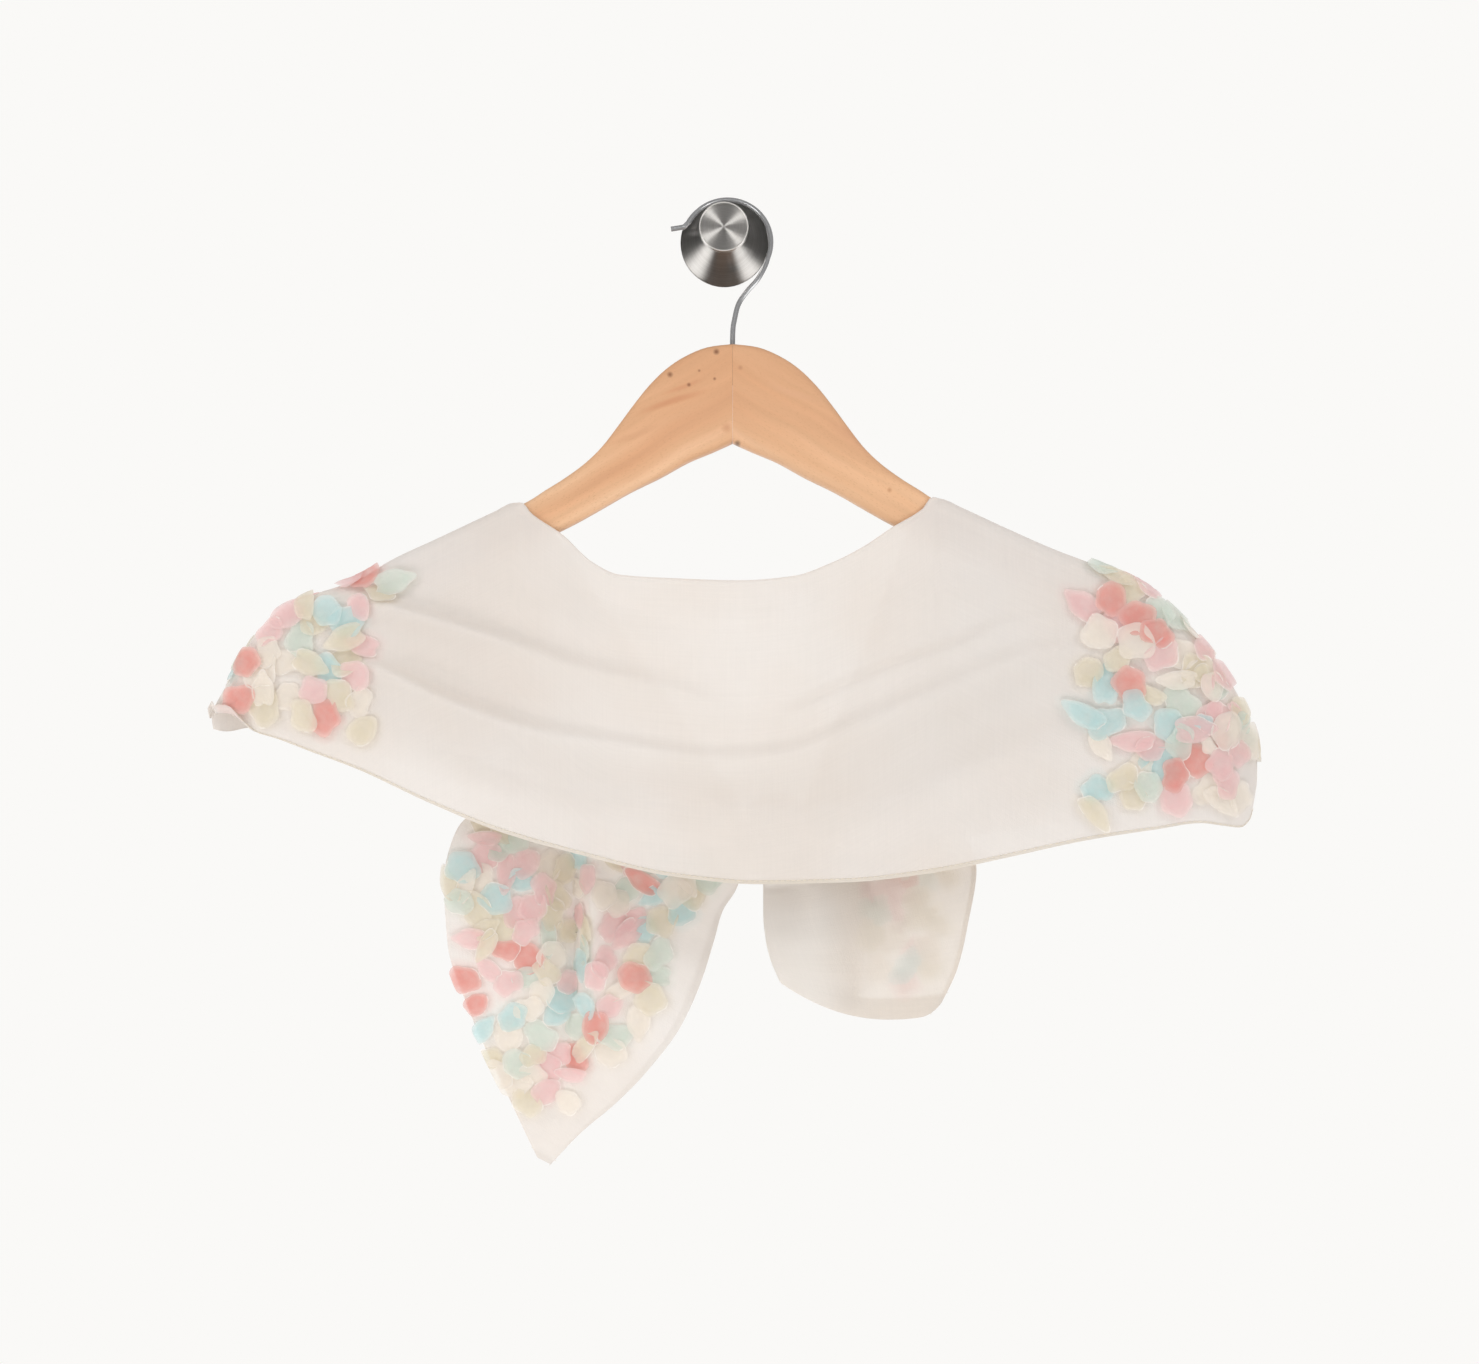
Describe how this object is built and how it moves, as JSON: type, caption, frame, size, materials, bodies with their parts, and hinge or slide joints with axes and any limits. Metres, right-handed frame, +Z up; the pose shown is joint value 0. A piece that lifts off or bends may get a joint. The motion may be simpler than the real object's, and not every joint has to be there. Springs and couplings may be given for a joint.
{
  "type": "oblong scarf on a wooden hanger and wall knob",
  "caption": "Sheer ivory scarf with petal-covered ends, knotted behind a wooden hanger that hangs by its wire hook on a turned steel wall knob.",
  "frame": {"origin": "centre of the wall knob's flat back face, where it is fixed to the wall", "axes": "+Y into the wall, +X to the viewer's right along the scarf's width, +Z up"},
  "size_m": [0.6055, 0.0824, 0.571],
  "materials": {
    "turned_steel": "turned, with fine rings and radial streaks of light",
    "steel_wire": "bright drawn wire",
    "beech": "sanded beech under clear satin lacquer",
    "ivory_crepe": "sheer matt crepe with a soft sheen",
    "petal_crepe": "sheer crepe under layered organza petals in coral, pink, aqua, beige and sage"
  },
  "bodies": {
    "root": {"wall_knob": "turned_steel", "hanger_hook": "steel_wire", "hanger_arm_left": "beech", "hanger_arm_right": "beech", "scarf_front": "ivory_crepe", "scarf_left_back": "ivory_crepe", "scarf_right_back": "ivory_crepe", "scarf_knot": "ivory_crepe", "scarf_left_tail": "petal_crepe", "scarf_right_tail": "ivory_crepe"}
  },
  "joints": []
}
